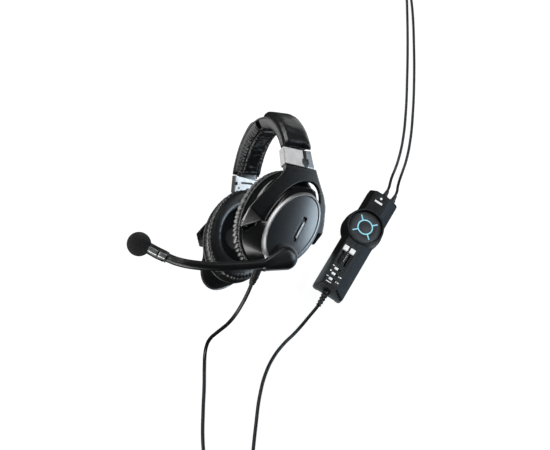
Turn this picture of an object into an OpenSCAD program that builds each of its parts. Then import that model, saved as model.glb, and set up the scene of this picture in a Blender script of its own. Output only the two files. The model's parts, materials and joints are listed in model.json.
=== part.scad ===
// Aviation headset with a boom microphone and an in-line control module, millimetres.
// The headset lies on the flat cover of its right ear cup. In its own frame +X is the back
// of the head, +Y the crown, +Z the wearer's left, and Z = 0 is the middle of the head.

/* [Ear cups] */
// half length of an ear cushion
cup_a = 60; // [50:1:70]
// half width of an ear cushion
cup_b = 43; // [36:1:52]
// lean of the cushion's long axis towards the back
cup_lean = 22; // [0:1:40]
// width of the cushion's ring at its long ends
cushion_w = 25; // [14:1:28]
// inner face of a cushion, from the middle of the head
cushion_in = 35; // [25:1:50]
// back of a cushion, where the baffle carries it
cushion_out = 54; // [45:1:65]
// angle between a cushion and the flat outer cover
wedge = 9; // [0:1:12]
// flat outer face of a cup's cover, from the middle of the head
cover_z = 98; // [90:1:110]
// half length of the oval cover
cover_a = 44; // [30:1:50]
// half width of the oval cover
cover_b = 24; // [18:1:32]
// lean of the oval cover
cover_lean = 35; // [0:1:45]
// wall of the cup shell
cup_wall = 2.5; // [1.5:0.5:4]

/* [Headband] */
// outer radius of the band at its end blocks
band_r = 82.5; // [70:0.5:95]
// angle of the middle of an end block from the crown
block_angle = 77.5; // [70:0.5:85]
// half width of the band's padding
band_half = 17; // [12:0.5:22]
// height of the padding's crown above its edges
cover_rise = 5.5; // [2:0.5:9]

/* [Boom] */
// diameter of the boom
boom_d = 10.4; // [5:0.1:12]
// radius of the foam windscreen
foam_r = 13; // [8:0.5:18]

/* [Control module] */
// width of the module
module_w = 42; // [30:1:60]
// length of the module
module_l = 157; // [120:1:180]
// thickness of the module
module_h = 24; // [16:1:32]
// radius of the round button
button_r = 21.2; // [14:0.2:26]
// angle that the belt clip rolls the module to
module_roll = 14; // [0:1:20]

/* [Cords] */
// diameter of the cord between the headset and the module
main_d = 4.4; // [3:0.1:6]
// diameter of each lead to a plug
lead_d = 3.6; // [2:0.1:5]

/* [Hidden] */
$fn = 96;
eps = 0.01;
centre_x = 9.5;         // middle of the resting outline, without the cords
centre_y = -21.6;
cup_c = [-17.5, -53.5];      // middle of a cushion
cover_c = [-15.1, -70];  // middle of the oval cover
baffle_t = 4;
shell_z = cushion_out + baffle_t;
pivot = [-18, -68.5, 65];  // middle of the axis that a cup tilts on
pivot_turn = -8.8;
pivot_half = 43.5;      // from there to the middle of a yoke lug
lug_r = 4.5;
stub_r = 2.5;
arm_z = 80.5;            // inner face of the yoke's plate
arm_t = 4.5;
arm_gap = 3;             // free space round the yoke's plate
recess_z = 76;           // floor of the recess that the yoke lies in
arm_points = [[-17, 5], [-20, -4], [-34, -17.5], [-51, -35], [-61, -46.8], [-45.5, -60.5],
              [-35, -55], [-19, -47], [6, -47], [22, -50], [20.5, -62], [19, -71], [27.2, -71],
              [29.6, -60], [31.7, -40], [29.8, -27.5], [23.6, -9], [20, 3]];
// ends of the plate, from which it bends in to a lug at the front and at the back
arm_ends = [[[-61, -46.8], [-45.5, -60.5], [-44, -58.5], [-58, -44.2]],
            [[19.8, -67], [19, -71], [27.2, -71], [28, -67]]];
arm_hole = [-13.6, -60.5];
shoulder_points = [[-17.3, -9.9], [8.3, -14.1], [8.3, -17.4], [20, -16.2], [20, -19.5], [-17.3, -19.5]];
block_x = [-17.3, 8.3, 20.5];       // front edge, crease and rear edge of an end block
block_y = [[-9.3, 12], [-13.5, 8], [-11.8, 10]];  // its lower and upper edge at each of them
block_t = 14;
spring_r = 70.5;
spring_end = 73;
stem_x = [-13, 6];
stem_z = [-9.2, -6.2];
slot_gap = 0.15;
hub_c = [-26, -105];
hub_r = 13;
hub_z = cover_z + 1.8;
hub_t = 12;
boom_path = [[-52.5, -113.3, 104.5], [-74, -116.7, 103.2], [-108, -119.9, 100], [-133.5, -118.7, 95],
             [-147, -115.2, 88], [-155.5, -111, 82.5]];
mic_path = [[-155.5, -111, 82.5], [-166, -106.4, 80], [-177, -100.6, 77.5]];
foam_c = [-185.5, -97.2, 75];
gland_path = [[-42.5, -109, 65], [-45, -118, 63], [-48, -126.5, 60.5]];
module_o = [100.2, -100.3, -cover_z + 2.1];
module_turn = -32.5;
button_c = [18.5, 100];
bulge_r = 27;
split_n = 10;
top_wall = 4.2;
side_wall = 2.2;
knob_w = [7.7, 17.1];
knob_l = 61;
knob_size = [6.6, 6.6];
slot_l = [37, 65];
switch_w = 11.4;
switch_l = [29.7, 21.8, 13.9];
switch_size = [5, 2.8];
switch_travel = 3.5;
door_w = [8, 34];
door_l = 60;
relief_w = 18.9;
lead_w = [20.6, 32.6];
relief_n = 11;
cell_r = 7.25;
cell_l = 50.5;
floor_z = -cover_z;
main_r = main_d / 2;
lead_r = lead_d / 2;
main_coil_c = [-12, -368];
main_coil_r = 27;
lead_coil_c = [228, 356];
lead_coil_r = [21, 25.2];
cord_low = floor_z + main_r + 0.1;
lead_low = floor_z + lead_r + 0.1;
main_out = [[-48, -126.5, 60.5], [-50, -138, 52], [-53, -151, 40], [-54.5, -160, 26], [-54, -166.5, 5],
            [-52, -170, -20], [-50, -173, -45], [-48, -176, -66], [-46, -182, -83], [-44.5, -192, -93],
            [-44, -206, cord_low], [-44, -230, cord_low], [-45, -260, cord_low],
            [-45, -295, cord_low], [-42, -325, cord_low], [-40, -350, cord_low],
            [-39, -368, cord_low]];
main_back = [[15, -368, cord_low], [16, -345, cord_low], [20, -310, cord_low],
             [24, -275, cord_low], [29, -240, cord_low], [37, -212, cord_low],
             [48, -191, cord_low], [62, -174, cord_low], [76, -161, cord_low],
             [86, -150, cord_low + 1.5], [93.5, -139.5, -89.5], [98.5, -132, -84.5], [102.7, -125.6, -81]];
lead_a_out = [[204.6, 31.2, -80.9], [208.8, 38, -83.5], [214, 46, -89.5], [219, 55, -93.5],
              [225, 66, -95.6], [232, 84, lead_low], [239, 112, lead_low], [244, 150, lead_low],
              [247, 195, lead_low], [249, 245, lead_low], [249.5, 295, lead_low],
              [249, 330, lead_low], [249, 356, lead_low]];
lead_b_out = [[214.4, 24.9, -78], [218.7, 31.8, -80.5], [224.5, 41, -88], [230, 51, -93],
              [236, 63, -95.6], [243, 81, lead_low], [250, 110, lead_low], [255, 150, lead_low],
              [258, 195, lead_low], [259, 245, lead_low], [258, 295, lead_low],
              [254.5, 330, lead_low], [253.2, 356, lead_low]];
lead_a_end = [[228, 377, lead_low], [216, 377.5, -94.5], [204, 378.5, -92], [192, 379, -91]];
lead_b_end = [[228, 381.2, lead_low], [216, 384, -94.5], [204, 391, -92], [194, 397, -91]];
plug_r = 6.8;
plug_z = floor_z + plug_r + 0.2;
plug_y = [379, 400];
plug_x = 192;
phone_r = 3.175;
mic_r = 2.615;
plug_body_l = 44;

// ---- places -----------------------------------------------------------------------------

module rest() translate([-centre_x, -centre_y, cover_z]) children();

module right_side() rest() mirror([0, 0, 1]) children();

// end block's frame: its outer face is z = 0 and y runs up the band
module band_side() rotate([block_angle - 90, 0, 0]) translate([0, 0, band_r]) children();

// frame on the tilt axis, x along it
module tilt_axis() translate(pivot) rotate(pivot_turn) children();

// control module's frame: x across, y along, z out of its face
module module_frame()
  rest() translate(module_o) rotate([0, 0, module_turn]) rotate([0, -module_roll, 0]) children();

// leans a cushion and what is behind it against the flat cover
module leaned() translate([0, pivot[1], cushion_out]) rotate([wedge, 0, 0])
  translate([0, -pivot[1], -cushion_out]) children();

// ---- outlines ---------------------------------------------------------------------------

module leaning_oval(c, a, b, lean) translate(c) rotate(-lean) scale([b / a, 1]) circle(a);

module cup_oval(grow) leaning_oval(cup_c, cup_a + grow, cup_b + grow, cup_lean);

module cover_oval(grow) leaning_oval(cover_c, cover_a + grow, cover_b + grow, cover_lean);

module arm_plan() difference() {
  offset(r = 1.5) offset(delta = -1.5) polygon(arm_points);
  leaning_oval(arm_hole, 56, 26.5, 33);
}

module slab(z, h) translate([0, 0, z]) linear_extrude(h) children();

// part of a band whose profile is [radius, x], between two angles from the crown
module band_arc(from, to)
  rotate(a = 120, v = [1, 1, 1]) rotate(from) rotate_extrude(angle = to - from) children();

// ---- swept cords ------------------------------------------------------------------------

function unit(v) = v / norm(v);

function heading(p, i) = unit(p[min(i + 1, len(p) - 1)] - p[max(i - 1, 0)]);

function ring(c, t, side, r, sides) =
  let (u = unit(cross(t, side)), v = cross(t, u))
  [for (k = [0 : sides - 1]) c + r * (u * cos(360 * k / sides) + v * sin(360 * k / sides))];

// tube along hand-placed points; side is never along the route
module tube(p, r, side, sides) {
  n = len(p);
  points = [for (i = [0 : n - 1]) each ring(p[i], heading(p, i), side, r, sides)];
  walls = [for (i = [0 : n - 2], k = [0 : sides - 1])
            [i * sides + k, i * sides + (k + 1) % sides,
             (i + 1) * sides + (k + 1) % sides, (i + 1) * sides + k]];
  ends = [[for (k = [sides - 1 : -1 : 0]) k], [for (k = [0 : sides - 1]) (n - 1) * sides + k]];
  polyhedron(points, concat(walls, ends));
}

// points of a smooth curve through p, steps between each pair
function smooth(p, steps) = concat(
  [for (i = [0 : len(p) - 2], s = [0 : steps - 1])
    let (a = p[max(i - 1, 0)], b = p[i], c = p[i + 1], d = p[min(i + 2, len(p) - 1)], t = s / steps)
    (b * 2 + (c - a) * t + (a * 2 - b * 5 + c * 4 - d) * t * t
      + (b * 3 - a - c * 3 + d) * t * t * t) / 2],
  [p[len(p) - 1]]);

// ---- ear cup ----------------------------------------------------------------------------

// a plain ring with a rounded section, squeezed to the cup's oval
module cushion() {
  r = 8;
  color([0.05, 0.05, 0.055])
    leaned() translate(cup_c) rotate(-cup_lean) scale([cup_b / cup_a, 1, 1])
      rotate_extrude($fn = 72)
        translate([cup_a - cushion_w + r, cushion_in + r])
          offset(r = r, $fn = 24) square([cushion_w - 2 * r, cushion_out - cushion_in - 2 * r]);
}

module baffle() color([0.1, 0.1, 0.11]) leaned() difference() {
  slab(cushion_out, baffle_t) cup_oval(-1.5);
  slab(cushion_out - eps, 2.5) cup_oval(-cushion_w + 1);
  translate([cup_c[0], cup_c[1], cushion_out]) cylinder(r = 15, h = baffle_t + 1);
}

module driver() color([0.25, 0.25, 0.27]) leaned() translate([cup_c[0], cup_c[1], shell_z]) {
  cylinder(r = 20, h = 4);
  cylinder(r = 14, h = 10);
}

module cup_form(grow) {
  hull() {
    leaned() slab(shell_z, 1) cup_oval(grow - 2.5);
    leaned() slab(shell_z + 7, 1) cup_oval(grow - 5);
    slab(74 + grow, 1) translate([6, 6]) cup_oval(grow - 9);
    slab(91, 1) cover_oval(grow + 3);
  }
  slab(shell_z + 10, cover_z - 3 - shell_z - 10) cover_oval(grow + 1.8);
}

module arm_room(z, grow) {
  slab(z, 40) offset(r = grow) arm_plan();
  slab(z - 5, 40) translate([-20 - grow, -16 - grow]) square([44 + 2 * grow, 42]);
  for (i = [0, 1]) arm_tip(i, grow);
}

// from an end of the plate down to its lug
module arm_tip(i, grow) hull() {
  slab(arm_z - grow, arm_t + grow) offset(delta = grow) polygon(arm_ends[i]);
  tilt_axis() translate([(2 * i - 1) * pivot_half, 0, 0]) rotate([0, 90, 0])
    cylinder(r = lug_r + grow, h = 4 + 2 * grow, center = true, $fn = 32);
}

module shell() color([0.04, 0.04, 0.045]) {
  difference() {
    cup_form(0);
    arm_room(recess_z, arm_gap);
    difference() {
      translate([0, 0, -cup_wall]) cup_form(-cup_wall);
      arm_room(recess_z - cup_wall, arm_gap + cup_wall);
    }
  }
  tilt_axis() for (s = [-1, 1]) rotate([0, 90 * s, 0]) {
    translate([0, 0, pivot_half - 14]) cylinder(r = lug_r - 0.4, h = 11.7);
    translate([0, 0, pivot_half - 3]) cylinder(r = stub_r, h = 4.8);
  }
}

module panel() color([0.2, 0.21, 0.23]) difference() {
  slab(cover_z - 3, 3) cover_oval(0);
  trim_groove(5.2, 32, 0, cover_z - 1.6, 2);
}

module trim_groove(w, l, off, z, h)
  translate([-7.6, -70.8, z]) rotate(-29) translate([off - w / 2, -l / 2, 0]) cube([w, l, h]);

module trim() color([0.8, 0.81, 0.83]) {
  difference() {
    slab(cover_z - 3, 3) cover_oval(1.6);
    slab(cover_z - 4, 5) cover_oval(0);
  }
  trim_groove(1.8, 27, 1.3, cover_z - 1.6, 1.5);
}

// ---- yoke and slide ---------------------------------------------------------------------

module yoke() color([0.06, 0.06, 0.065]) difference() {
  union() {
    slab(arm_z, arm_t) arm_plan();
    hull() {
      band_side() translate([block_x[0], -19, -5]) cube([block_x[2] - block_x[0] - 1, 2.5, 5]);
      slab(arm_z, arm_t) intersection() {
        arm_plan();
        translate([-30, -12]) square([60, 6]);
      }
    }
    band_side() slab(stem_z[0] - 0.4, -stem_z[0]) polygon(shoulder_points);
    for (i = [0, 1]) arm_tip(i, 0);
  }
  tilt_axis() {
    rotate([0, 90, 0]) cylinder(r = stub_r + 0.05, h = 2 * pivot_half + 5, center = true);
    rotate([0, 90, 0]) cylinder(r = lug_r + 0.3, h = 2 * pivot_half - 4, center = true);
  }
  band_side() translate([stem_x[0], -18, stem_z[0]])
    cube([stem_x[1] - stem_x[0], 18, stem_z[1] - stem_z[0]]);
}

module stem() color([0.5, 0.5, 0.52]) band_side() difference() {
  translate([stem_x[0], -18, stem_z[0]])
    cube([stem_x[1] - stem_x[0], 40, stem_z[1] - stem_z[0]]);
  translate([(stem_x[0] + stem_x[1]) / 2 - 2, -8, stem_z[0] - 1]) cube([4, 24, 5]);
}

// ---- headband ---------------------------------------------------------------------------

module block_blank() intersection() {
  slab(-block_t, block_t + 1)
    polygon([[block_x[0], block_y[0][0]], [block_x[1], block_y[1][0]], [block_x[2], block_y[2][0]],
             [block_x[2] - 3, block_y[2][1]], [block_x[1], block_y[1][1]],
             [block_x[0], block_y[0][1]]]);
  rotate([90, 0, 0]) translate([0, 0, -20]) linear_extrude(40)
    polygon([[block_x[0], -block_t], [block_x[0], -1.8], [block_x[1], 0], [block_x[2], -4],
             [block_x[2], -block_t]]);
}

module block_screw_places() for (x = [-16.2, 12]) translate([x, 2, -block_t]) children();

module end_block() color([0.75, 0.76, 0.78]) difference() {
  band_side() difference() {
    block_blank();
    translate([stem_x[0] - slot_gap, -20, stem_z[0] - slot_gap])
      cube([stem_x[1] - stem_x[0] + 2 * slot_gap, 40, stem_z[1] - stem_z[0] + 2 * slot_gap]);
    block_screw_places() {
      translate([0, 0, -1]) cylinder(r = 1.9, h = 2, $fn = 32);
      cylinder(r = 1, h = 5, $fn = 32);
    }
    translate([-4, 2.6, -block_t - eps]) cube([8, 1.8, 1.2]);
    translate([0, -5.5, -block_t - 1]) cylinder(r = 2.5, h = 2, $fn = 32);
    translate([block_x[1] + 0.7, -16, -block_t - 1]) cube([14, 9, block_t - 5]);
    badge_place();
  }
  band_arc(block_angle - 15, spring_end) translate([spring_r, -10]) square([1.2, 20]);
}

module badge_place() {
  translate([block_x[1] - 2.2, -16, -1]) cube([4.4, 30, 2]);
  translate([block_x[1] - 3.8, -9.8, -1]) cube([7.2, 7.2, 2]);
}

module badge() color([0.12, 0.13, 0.15]) band_side() {
  intersection() {
    translate([block_x[1] - 2.2, -16, -1]) cube([4.4, 30, 1]);
    block_blank();
  }
  translate([block_x[1] - 3.8, -9.8, -1]) cube([7.2, 7.2, 1.5]);
}

module block_screw() color([0.3, 0.3, 0.32]) band_side() block_screw_places() {
  cylinder(r = 1.9, h = 1, $fn = 32);
  translate([0, 0, 1]) cylinder(r = 1, h = 4, $fn = 32);
}

module spring() color([0.55, 0.55, 0.57])
  band_arc(-spring_end, spring_end) translate([spring_r, -10]) square([1.2, 20]);

module core() color([0.13, 0.13, 0.14])
  band_arc(-68.2, 68.2) translate([79.6, -15.5]) square([1.6, 31]);

module piping() color([0.35, 0.36, 0.38])
  band_arc(-68, 68) for (s = [-1, 1]) translate([80.2, s * 16.7]) circle(1.1, $fn = 16);

// a padded cover: flat on the core, crowned outside
module outer_cover() color([0.05, 0.05, 0.055]) band_arc(13.5, 68) intersection() {
  bow = (band_half * band_half + cover_rise * cover_rise) / (2 * cover_rise);
  translate([band_r + 0.5 + cover_rise - bow, 0]) circle(bow);
  translate([81.4, -band_half]) square([12, 2 * band_half]);
}

// a padded lining that bows towards the head, with a pocket for the slide
module inner_pad() color([0.07, 0.07, 0.075]) difference() {
  band_arc(4, 66) intersection() {
    translate([87, 0]) circle(25);
    translate([60, -15.5]) square([19.4, 31]);
  }
  band_side() translate([stem_x[0] - 1, 0, stem_z[0] - 1])
    cube([stem_x[1] - stem_x[0] + 2, 24.5, 12]);
  band_arc(0, spring_end) translate([spring_r, -10]) square([1.2, 20]);
}

// ---- boom microphone --------------------------------------------------------------------

module boom_pin() color([0.3, 0.3, 0.32]) translate([hub_c[0], hub_c[1], cover_z]) {
  translate([1, 3]) cylinder(r = 14.5, h = hub_z - cover_z - 0.1);
  cylinder(r = 3, h = hub_z - cover_z + 8);
}

module boom_hub() color([0.07, 0.08, 0.09]) difference() {
  hull() {
    translate([hub_c[0], hub_c[1], hub_z]) cylinder(r = hub_r, h = hub_t - 3);
    translate([hub_c[0], hub_c[1], hub_z]) cylinder(r = hub_r - 4, h = hub_t, $fn = 48);
    translate([-52, -115.5, hub_z]) cylinder(r = 5, h = hub_t - 4, $fn = 32);
  }
  translate([hub_c[0], hub_c[1], hub_z - 1]) cylinder(r = 3.05, h = 9.3);
}

module boom_tube() color([0.05, 0.05, 0.055])
  tube(smooth(boom_path, 3), boom_d / 2, [0, 0, 1], 12);

module mic_body() color([0.06, 0.06, 0.065])
  tube(mic_path, 6.4, [0, 0, 1], 16);

module windscreen() color([0.03, 0.03, 0.03]) translate(foam_c) sphere(foam_r, $fn = 48);

module gland() color([0.05, 0.05, 0.055]) difference() {
  tube_cone(gland_path, [5, 4.4, 2.8], 12);
  cup_form(0);
}

module tube_cone(p, radii, sides) hull()
  for (i = [0 : len(p) - 1]) translate(p[i]) sphere(radii[i], $fn = 24);

// ---- control module ---------------------------------------------------------------------

module corner_rect(w0, w1, l0, l1, r) hull()
  for (w = [w0 + r, w1 - r], l = [l0 + r, l1 - r]) translate([w, l]) circle(r, $fn = 24);

module module_outline(shrink) {
  corner_rect(shrink, module_w - shrink, shrink, module_l - shrink, 4);
  translate(button_c) circle(bulge_r - shrink);
}

module top_form(shrink, ceiling) {
  hull() {
    slab(split_n, 0.1) corner_rect(shrink, module_w - shrink, shrink, module_l - shrink, 4);
    slab(ceiling - 0.1, 0.1) corner_rect(6 + shrink, 28 - shrink, 4 + shrink, module_l - 4 - shrink, 3);
  }
  translate([button_c[0], button_c[1], split_n])
    cylinder(r1 = bulge_r - shrink, r2 = bulge_r - 2 - shrink, h = ceiling - split_n);
}

module relief_seats() {
  translate([relief_w, 4, relief_n]) rotate([90, 0, 0]) cylinder(r = 4.5, h = 8, $fn = 32);
  for (w = lead_w)
    translate([w, module_l - 4, relief_n]) rotate([-90, 0, 0]) cylinder(r = 3.8, h = 8, $fn = 32);
}

module module_top() color([0.08, 0.085, 0.09]) module_frame() difference() {
  union() {
    top_form(0, module_h);
    translate([button_c[0], button_c[1], split_n]) cylinder(r = 24.4, h = module_h - split_n + 3);
  }
  difference() {
    translate([0, 0, -eps]) top_form(side_wall, module_h - top_wall);
    translate([button_c[0], button_c[1], 15]) cylinder(r = 26, h = 12);
  }
  translate([button_c[0], button_c[1], 17]) cylinder(r = 22.4, h = 20);
  translate([button_c[0], button_c[1], 5]) cylinder(r = 4, h = 20, $fn = 48);
  for (w = knob_w) {
    translate([w - 0.3, slot_l[0], module_h - 2]) cube([knob_size[0] + 0.6, slot_l[1] - slot_l[0], 3]);
    translate([w + 2.3, slot_l[0] + 1, 0]) cube([2, slot_l[1] - slot_l[0] - 2, 30]);
  }
  for (l = switch_l) {
    translate([switch_w - 0.3, l - switch_size[1] / 2 - 0.3, module_h - 1.2])
      cube([switch_size[0] + switch_travel + 0.6, switch_size[1] + 0.6, 3]);
    translate([switch_w + 1.3, l - 0.8, 0]) cube([2.4 + switch_travel, 1.6, 30]);
  }
  status_places(-0.4, 2);
  relief_seats();
}

module status_places(low, h) translate([0, 0, module_h + low]) {
  translate([11.5, 138.2, 0]) cube([11, 2.6, h]);
  translate([17.7, 146, 0]) cylinder(r = 1.6, h = h, $fn = 32);
}

module status_marks() color([0.92, 0.92, 0.93]) module_frame() status_places(-0.4, 0.6);

module screw_places() for (w = [6, 36], l = [67, 150]) translate([w, l, 0]) children();

module module_base() color([0.07, 0.075, 0.08]) module_frame() difference() {
  union() {
    difference() {
      linear_extrude(split_n) module_outline(0);
      slab(side_wall, split_n) module_outline(side_wall);
    }
    screw_places() cylinder(r = 3.4, h = split_n - 1, $fn = 32);
  }
  screw_places() {
    translate([0, 0, -1]) cylinder(r = 2.6, h = 2.2, $fn = 32);
    cylinder(r = 1.3, h = 8, $fn = 32);
  }
  translate([door_w[0], -1, -1]) cube([door_w[1] - door_w[0], door_l + 2, side_wall + 2]);
  relief_seats();
}

module battery_door() color([0.09, 0.09, 0.1]) module_frame() {
  translate([door_w[0] + 0.15, 0.5, 0.1]) cube([door_w[1] - door_w[0] - 0.3, door_l, 1.9]);
}

module battery_cells() color([0.75, 0.6, 0.3]) module_frame()
  for (w = [12.4, 27.2]) translate([w, 7, 9.6]) rotate([-90, 0, 0]) {
    cylinder(r = cell_r, h = cell_l - 1.5);
    translate([0, 0, cell_l - 1.5]) cylinder(r = 2.7, h = 1.5, $fn = 32);
  }

module module_pcb() color([0.05, 0.3, 0.15]) module_frame()
  translate([10, 63, 4.5]) cube([22, 86, 1.6]);

module module_screws() color([0.4, 0.4, 0.42]) module_frame() screw_places() {
  translate([0, 0, 0.2]) cylinder(r = 2.6, h = 1, $fn = 32);
  translate([0, 0, 1.2]) cylinder(r = 1.3, h = 6.8, $fn = 32);
}

module belt_clip() color([0.1, 0.1, 0.11]) module_frame() translate([24.1, 0, 0]) {
  translate([0, 108, -7.85]) cube([14, 12, 7.85]);
  translate([0, 60, -7.85]) cube([14, 60, 1.8]);
}

module glow_plan() {
  difference() {
    circle(10.4);
    circle(8.8);
  }
  for (a = [45 : 90 : 315]) rotate(a) translate([10, -0.8]) square([7.4, 1.6]);
}

module button_disc() color([0.1, 0.11, 0.12]) module_frame() translate(button_c) difference() {
  union() {
    slab(19.4, 4) circle(button_r);
    slab(12, 8) circle(3.9, $fn = 48);
  }
  slab(22.9, 2) glow_plan();
}

module button_glow() color([0.55, 0.85, 0.92]) module_frame() translate(button_c)
  slab(22.9, 0.6) glow_plan();

module volume_knob(w) color([0.93, 0.93, 0.94]) module_frame() {
  translate([w, knob_l - knob_size[1] / 2, module_h - 1.8]) cube([knob_size[0], knob_size[1], 3.2]);
  translate([w + 2.5, knob_l - 1.5, module_h - 5.5]) cube([1.6, 3, 4]);
}

module switch_knob(l) color([0.93, 0.93, 0.94]) module_frame() {
  translate([switch_w, l - switch_size[1] / 2, module_h - 1]) cube([switch_size[0], switch_size[1], 1.7]);
  translate([switch_w + 1.6, l - 0.6, module_h - 5.5]) cube([1.8, 1.2, 4.6]);
}

module ribbed_relief(r1, r2, l, ribs) {
  cylinder(r1 = r1 - 1, r2 = r2, h = l, $fn = 32);
  for (i = [0 : ribs - 1])
    translate([0, 0, 5 + i * (l - 5) / ribs])
      cylinder(r = r1 - (r1 - r2 - 0.6) * i / ribs - 0.4, h = (l - 5) / ribs / 2, $fn = 32);
}

module module_relief() color([0.04, 0.04, 0.045]) module_frame()
  translate([relief_w, 0, relief_n]) rotate([90, 0, 0]) {
    translate([0, 0, -4]) cylinder(r = 4.5, h = 7, $fn = 32);
    ribbed_relief(4.5, 2.6, 20, 4);
  }

module lead_reliefs() color([0.04, 0.04, 0.045]) module_frame()
  for (w = lead_w) translate([w, module_l, relief_n]) rotate([-90, 0, 0]) {
    translate([0, 0, -4]) cylinder(r = 3.8, h = 6.5, $fn = 32);
    cylinder(r1 = 3.4, r2 = 2.4, h = 10, $fn = 32);
  }

// ---- cords and plugs --------------------------------------------------------------------

module main_cord() color([0.03, 0.03, 0.03]) rest() {
  tube(smooth(main_out, 2), main_r, [1, 0, 0], 8);
  tube(smooth(main_back, 1), main_r, [0, 0, 1], 8);
}

module coil(c, r0, r1, h) color([0.03, 0.03, 0.03]) rest()
  translate([c[0], c[1], floor_z + 0.1]) difference() {
    cylinder(r = r1, h = h);
    translate([0, 0, -1]) cylinder(r = r0, h = h + 2);
  }

module lead(out, end) color([0.03, 0.03, 0.03]) rest() {
  tube(out, lead_r, [0, 0, 1], 8);
  tube(end, lead_r, [0, 0, 1], 8);
}

module plug_frame(y) rest() translate([plug_x, y, plug_z]) rotate([0, -90, 0]) children();

module plug_body(y) color([0.05, 0.05, 0.055]) plug_frame(y) {
  cylinder(r1 = 3, r2 = 4.2, h = 12, $fn = 48);
  translate([0, 0, 12]) cylinder(r = plug_r, h = plug_body_l - 12, $fn = 48);
}

// pin with its insulating rings and a rounded tip
module plug_pin(y, r, l) color([0.85, 0.72, 0.42]) plug_frame(y) translate([0, 0, plug_body_l]) {
  cylinder(r = r, h = l - 4, $fn = 48);
  translate([0, 0, l - 4]) cylinder(r1 = r - 0.8, r2 = r, h = 1.5, $fn = 48);
  translate([0, 0, l - 2.5]) cylinder(r1 = r, r2 = r / 2, h = 2.5, $fn = 48);
}

rest() cushion();  // left_cushion
rest() baffle();  // left_baffle
rest() shell();  // left_shell
rest() panel();  // left_panel
rest() trim();  // left_trim
rest() driver();  // left_driver
rest() gland();  // cord_gland
right_side() cushion();  // right_cushion
right_side() baffle();  // right_baffle
right_side() shell();  // right_shell
right_side() panel();  // right_panel
right_side() trim();  // right_trim
right_side() driver();  // right_driver
rest() boom_pin();
rest() boom_hub();
rest() boom_tube();
rest() mic_body();
rest() windscreen();
rest() yoke();  // left_yoke
rest() stem();  // left_stem
right_side() yoke();  // right_yoke
right_side() stem();  // right_stem
rest() spring();  // band_spring
rest() core();  // band_core
rest() piping();  // band_piping
rest() outer_cover();  // left_cover
right_side() outer_cover();  // right_cover
rest() inner_pad();  // left_pad
right_side() inner_pad();  // right_pad
rest() end_block();  // left_block
right_side() end_block();  // right_block
union() {  // block_badges
  rest() badge();
  right_side() badge();
}
union() {  // block_screws
  rest() block_screw();
  right_side() block_screw();
}
module_top();
module_base();
button_disc();
button_glow();
volume_knob(knob_w[0]);  // knob_a
volume_knob(knob_w[1]);  // knob_b
switch_knob(switch_l[0]);  // switch_a
switch_knob(switch_l[1]);  // switch_b
switch_knob(switch_l[2]);  // switch_c
status_marks();
module_pcb();
battery_cells();
battery_door();
belt_clip();
module_screws();
module_relief();
lead_reliefs();
main_cord();
coil(main_coil_c, main_coil_r - main_r, main_coil_r + main_r, 2 * main_d);  // main_coil
lead(lead_a_out, lead_a_end);  // lead_a
lead(lead_b_out, lead_b_end);  // lead_b
coil(lead_coil_c, lead_coil_r[0] - lead_r, lead_coil_r[1] + lead_r, 2 * lead_d);  // lead_coil
plug_body(plug_y[0]);  // plug_a_body
plug_pin(plug_y[0], phone_r, 30);  // plug_a_pin
plug_body(plug_y[1]);  // plug_b_body
plug_pin(plug_y[1], mic_r, 30);  // plug_b_pin
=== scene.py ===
"""Looks for the aviation headset: leather, pleats, foam, cords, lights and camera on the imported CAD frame.

Points are in the headset's own frame, in millimetres: x to the back of the head, y to the crown, z to the
wearer's left, z = 0 at the middle of the head. place() takes them to the row frame, in metres.
"""

import json
import math

import bmesh
import bpy
from mathutils import Matrix, Vector, noise


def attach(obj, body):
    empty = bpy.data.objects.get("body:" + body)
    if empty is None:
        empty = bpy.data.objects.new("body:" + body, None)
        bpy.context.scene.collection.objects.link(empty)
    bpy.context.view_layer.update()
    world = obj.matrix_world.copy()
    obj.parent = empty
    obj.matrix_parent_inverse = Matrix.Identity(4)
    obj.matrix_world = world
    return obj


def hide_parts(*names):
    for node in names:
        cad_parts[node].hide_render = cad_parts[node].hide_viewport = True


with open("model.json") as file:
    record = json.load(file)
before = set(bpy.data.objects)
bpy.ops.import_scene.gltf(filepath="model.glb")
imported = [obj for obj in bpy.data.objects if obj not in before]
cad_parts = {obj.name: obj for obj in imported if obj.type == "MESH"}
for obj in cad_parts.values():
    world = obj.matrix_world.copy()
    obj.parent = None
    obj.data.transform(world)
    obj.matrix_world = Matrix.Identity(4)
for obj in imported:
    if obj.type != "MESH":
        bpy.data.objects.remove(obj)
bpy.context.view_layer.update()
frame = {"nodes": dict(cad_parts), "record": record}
NODES = frame["nodes"]
RECORD = frame["record"]
BODY_OF = {node: body for body, nodes in RECORD["behaviour"]["bodies"].items() for node in nodes}
SLOT_OF = {part["node"]: part["material_slot"] for part in RECORD["subparts"]}

# ---- driving sizes, as in part.scad ------------------------------------------------------

CENTRE_X, CENTRE_Y, COVER_Z = 9.5, -21.6, 98
CUP_A, CUP_B, CUP_LEAN = 60, 43, math.radians(22)
CUP_C = (-17.5, -53.5)
CUSHION_IN, CUSHION_OUT, CUSHION_W = 35, 54, 25
WEDGE, WEDGE_Y = math.radians(9), -68.5
COVER_C, COVER_A, COVER_B, COVER_LEAN = (-15.1, -70), 44, 24, math.radians(35)
BAND_R, BAND_HALF, PAD_HALF = 82.5, 17, 16.7
BLOCK_TILT, BLOCK_T = math.radians(12.5), 14
MAIN_D, LEAD_D = 4.4, 3.6
RELIEF_W, RELIEF_N = 18.9, 11
SIDE_NAME = {1: "left", -1: "right"}
FLOOR_Z = -COVER_Z
MODULE_O = (100.2, -100.3, -COVER_Z + 2.1)
MODULE_TURN, MODULE_ROLL = math.radians(-32.5), math.radians(14)
MODULE_TOP = 24


def place(x, y, z):
    """A point of the headset's frame, in millimetres, in the row frame, in metres."""
    return Vector((x - CENTRE_X, y - CENTRE_Y, z + COVER_Z)) / 1000


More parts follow.
